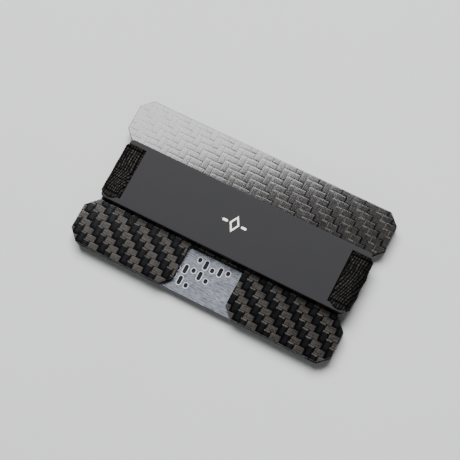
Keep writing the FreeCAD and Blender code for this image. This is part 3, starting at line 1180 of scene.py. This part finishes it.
def add_strap(name, spans, elastic):
    """One stretch of the strap, closed at both ends."""
    points, out, crest, along = strap_rings(spans)
    rows, count = points.shape[:2]
    ring = np.arange(count)
    after = np.roll(ring, -1)
    base = (np.arange(rows - 1) * count)[:, None]
    quads = np.stack((base + ring, base + after, base + count + after, base + count + ring), axis=2)
    quads = quads.reshape(-1, 4)
    corner = points.reshape(-1, 3)
    normal = out.reshape(-1, 3)
    first, second, fourth = quads[:, 0], quads[:, 1], quads[:, 3]
    facing = np.cross(corner[second] - corner[first], corner[fourth] - corner[first])
    if np.sum(facing * normal[first]) < 0:
        quads = quads[:, ::-1]
        caps = [ring.tolist(), (ring[::-1] + (rows - 1) * count).tolist()]
    else:
        caps = [ring[::-1].tolist(), (ring + (rows - 1) * count).tolist()]
    mesh = bpy.data.meshes.new(name)
    mesh.from_pydata(corner * MM, [], quads.tolist() + caps)
    mesh.materials.append(elastic)
    for key, data in (("crest", crest), ("along", along)):
        values = mesh.attributes.new(key, "FLOAT", "POINT").data
        values.foreach_set("value", data.reshape(-1).astype(np.float32))
    mesh.update()
    loops = np.empty(len(mesh.loops), dtype=np.int32)
    mesh.loops.foreach_get("vertex_index", loops)
    shading = normal[loops]
    for polygon in mesh.polygons[-2:]:
        flat = np.array(polygon.normal)
        shading[polygon.loop_start:polygon.loop_start + polygon.loop_total] = flat
    mesh.polygons.foreach_set("use_smooth", [True] * len(mesh.polygons))
    mesh.normals_split_custom_set(shading.tolist())
    piece = bpy.data.objects.new(name.replace("band_", "strap_"), mesh)
    bpy.context.scene.collection.objects.link(piece)
    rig.replaces(piece, name)
    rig.slot(piece, "elastic")
    print(piece.name, "has", rows, "rings and", len(mesh.polygons), "faces")
    return piece


# %% [markdown]
# The yarn is black, but a black with life in it: the cord crests carry a painted warm grey
# highlight, the holes between them are painted shade, nearly lightless, and thin filaments run
# along each cord. The highlight value that was worked out with the shape colours the two, so the
# colour can't slip off the relief.

# %% Elastic finish
def elastic_finish():
    finish = Finish("black_woven_elastic")
    x, y, z = finish.place()
    crest = finish.value("ShaderNodeAttribute", "Fac", {"attribute_name": "crest"})
    along = finish.value("ShaderNodeAttribute", "Fac", {"attribute_name": "along"})
    filament = finish.noise(finish.vector(along * 14, y * 1.6, 0.0), 1.0, 2.0)
    bead = finish.noise(finish.vector(along / CORD, y / BEAD, 7.0), 1.0, 1.0)
    # Patches where the painted highlight is stronger or weaker.
    painted_light_part = finish.noise(finish.vector(x, y, z), 0.3, 2.0)
    shine = 0.25 + 1.1 * finish.ease(bead, 0.34, 0.66)
    lit = crest * (0.3 + 0.7 * filament) * shine * (0.5 + painted_light_part)
    # Painted shade in the holes, nearly black, and a painted warm grey highlight on the crests.
    colour = finish.blend(lit, (0.0006, 0.0006, 0.0006, 1), (0.112, 0.107, 0.094, 1))
    relief = finish.relief(0.03 * filament)
    return finish.done(finish.surface({
        "Base Color": colour,
        "Roughness": 0.62,
        "Normal": relief,
        "Specular IOR Level": 0.03,
        "Sheen Weight": 0.01,
        "Sheen Roughness": 0.4,
    }))


# %% Hang the strap on its bodies
elastic = elastic_finish()
plate_top, clip_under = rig.box("top_plate")[1].z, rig.box("clip_plate")[0].z
MARGIN = 0.1 * MM
strap = {}
left, right = paths[-1], paths[1]
run = [(-1, left.rise, 0.0), (1, 0.0, right.rise)]
strap["band_bottom_run"] = add_strap("band_bottom_run", run, elastic)
for side, path, word in ((-1, left, "left"), (1, right, "right")):
    cuts = (path.rise, path.plate, path.bar, path.slot)
    for stretch, start, stop in zip(("lower", "upper", "loop"), cuts, cuts[1:]):
        name = "band_%s_%s" % (word, stretch)
        strap[name] = add_strap(name, [(side, start, stop)], elastic)
run = [(-1, left.slot, left.length[-1]), (1, right.length[-1], right.slot)]
strap["band_top_run"] = add_strap("band_top_run", run, elastic)
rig.ride(strap["band_bottom_run"], "base")
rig.ride(strap["band_top_run"], "clip")
for word in ("left", "right"):
    start = (0, 0, BAND_THICKNESS * MM + MARGIN)
    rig.blend(strap["band_%s_lower" % word], "base", "upper", start, (0, 0, plate_top - MARGIN))
    start = (0, 0, plate_top + MARGIN)
    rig.blend(strap["band_%s_upper" % word], "upper", "clip", start, (0, 0, clip_under - MARGIN))
    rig.ride(strap["band_%s_loop" % word], "clip")
print("strap pieces:", len(strap))

# %% [markdown]
# ## Stitches
#
# The loop is closed under the lower plate: its two ends meet and slanted stitches tie them. The
# CAD stitches are already thin round rods of the right size, so they stay, and only get thread:
# two plies twisted round each other.

# %% Thread
def thread_finish():
    finish = Finish("black_thread")
    x, y, z = finish.place()
    ply = (((x * 3.2 + y * 1.6 + z * 4.0) * math.tau).math("SINE") + 1) / 2
    colour = finish.blend(ply, grey(0.010), (0.052, 0.050, 0.046, 1))
    relief = finish.relief(0.03 * ply)
    return finish.done(finish.surface({"Base Color": colour, "Roughness": 0.55, "Normal": relief}))


stitches = frame["nodes"]["seam_stitches"]
for slot in stitches.material_slots:
    slot.material = thread_finish()
print("stitches:", len(stitches.data.polygons), "faces")

# %% [markdown]
# ## The bank card
#
# The card shows through the thumb notch: silver metal, brushed along its length, with a fine fleck
# and rows of marks pressed into it. Each mark has a painted highlight round its rim and painted
# shade on its floor. The rim is found by height, so the painted light follows the pocket's sloping wall.

# %% Card finish
CARD_DULL, CARD_BRIGHT = (0.030, 0.033, 0.040, 1), (0.260, 0.283, 0.330, 1)
MARK_SHADE, MARK_RIM_HIGHLIGHT = (0.006, 0.0065, 0.008, 1), (0.75, 0.78, 0.83, 1)
RIM_START, RIM_FULL, RIM_END = 0.45, 0.7, 0.9  # shares of a mark's depth


def card_colours(finish, x, y, z):
    """The fleck, and the colour of silver that was brushed along the card."""
    point = finish.vector(x, y, z)
    stretched = finish.vector(x * 0.18, y, z)
    fleck = finish.noise(point, 9.0, 3.0)
    cloud = finish.noise(point, 0.25, 3.0)
    brushed = finish.noise(stretched, 3.0, 3.0, 0.7)
    shade = 0.6 * cloud + 0.5 * fleck + 2.4 * brushed - 1.34
    return fleck, finish.blend(shade, CARD_DULL, CARD_BRIGHT)


def card_surface(finish, colour, fleck, metallic, specular):
    return finish.done(finish.surface({
        "Base Color": colour,
        "Metallic": metallic,
        "Roughness": 0.40 + 0.12 * fleck,
        "Normal": finish.relief(0.006 * fleck),
        "Specular IOR Level": specular,
    }))


def card_finish():
    finish = Finish("silver_card")
    fleck, colour = card_colours(finish, *finish.place())
    return card_surface(finish, colour, fleck, 0.35, 0.5)


def mark_finish(floor, top):
    """A pressed mark: painted shade on its floor, a painted highlight round its rim."""
    finish = Finish("pressed_mark")
    x, y, z = finish.place()
    fleck, plain = card_colours(finish, x, y, z)
    depth = top - floor
    rim = finish.ease(z, (floor + RIM_START * depth) / MM, (floor + RIM_FULL * depth) / MM)
    # Painted shade on the mark's floor, rising to a painted highlight on its rim.
    painted_light_part = finish.blend(rim, MARK_SHADE, MARK_RIM_HIGHLIGHT)
    away = finish.ease(z, (floor + RIM_END * depth) / MM, top / MM)
    return card_surface(finish, finish.blend(away, painted_light_part, plain), fleck, 0.0, 0.1)


marked = pocket_floor("bank_card")
plain_card = card_finish()
card_finishes = [plain_card, plain_card, mark_finish(marked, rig.box("bank_card")[1].z)]

# %% Card
CARD_ROLL = 0.1 * MM
MARK_SLOPE = 0.4 * MM


def add_card():
    low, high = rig.box("bank_card")
    outline = rims("bank_card", low.z)[0]
    sunk = [turned(loop, False) for loop in rims("bank_card", marked)]
    shape = bmesh.new()
    rolls = (CARD_ROLL, CARD_ROLL)
    add_slab(shape, outline, low.z, high.z, rolls, sunk, high.z - marked, MARK_SLOPE)
    finish_piece("silver_bank_card", shape, card_finishes, "card", ["bank_card"], "card_metal")


add_card()

# %% Write the sizes and finish
low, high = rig.bounds()
with open("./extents.json", "w") as out:
    json.dump({"cad": [list(cad_low), list(cad_high)], "visual": [list(low), list(high)]}, out)
print("visual box, mm:", [round(side / MM, 2) for side in high - low])
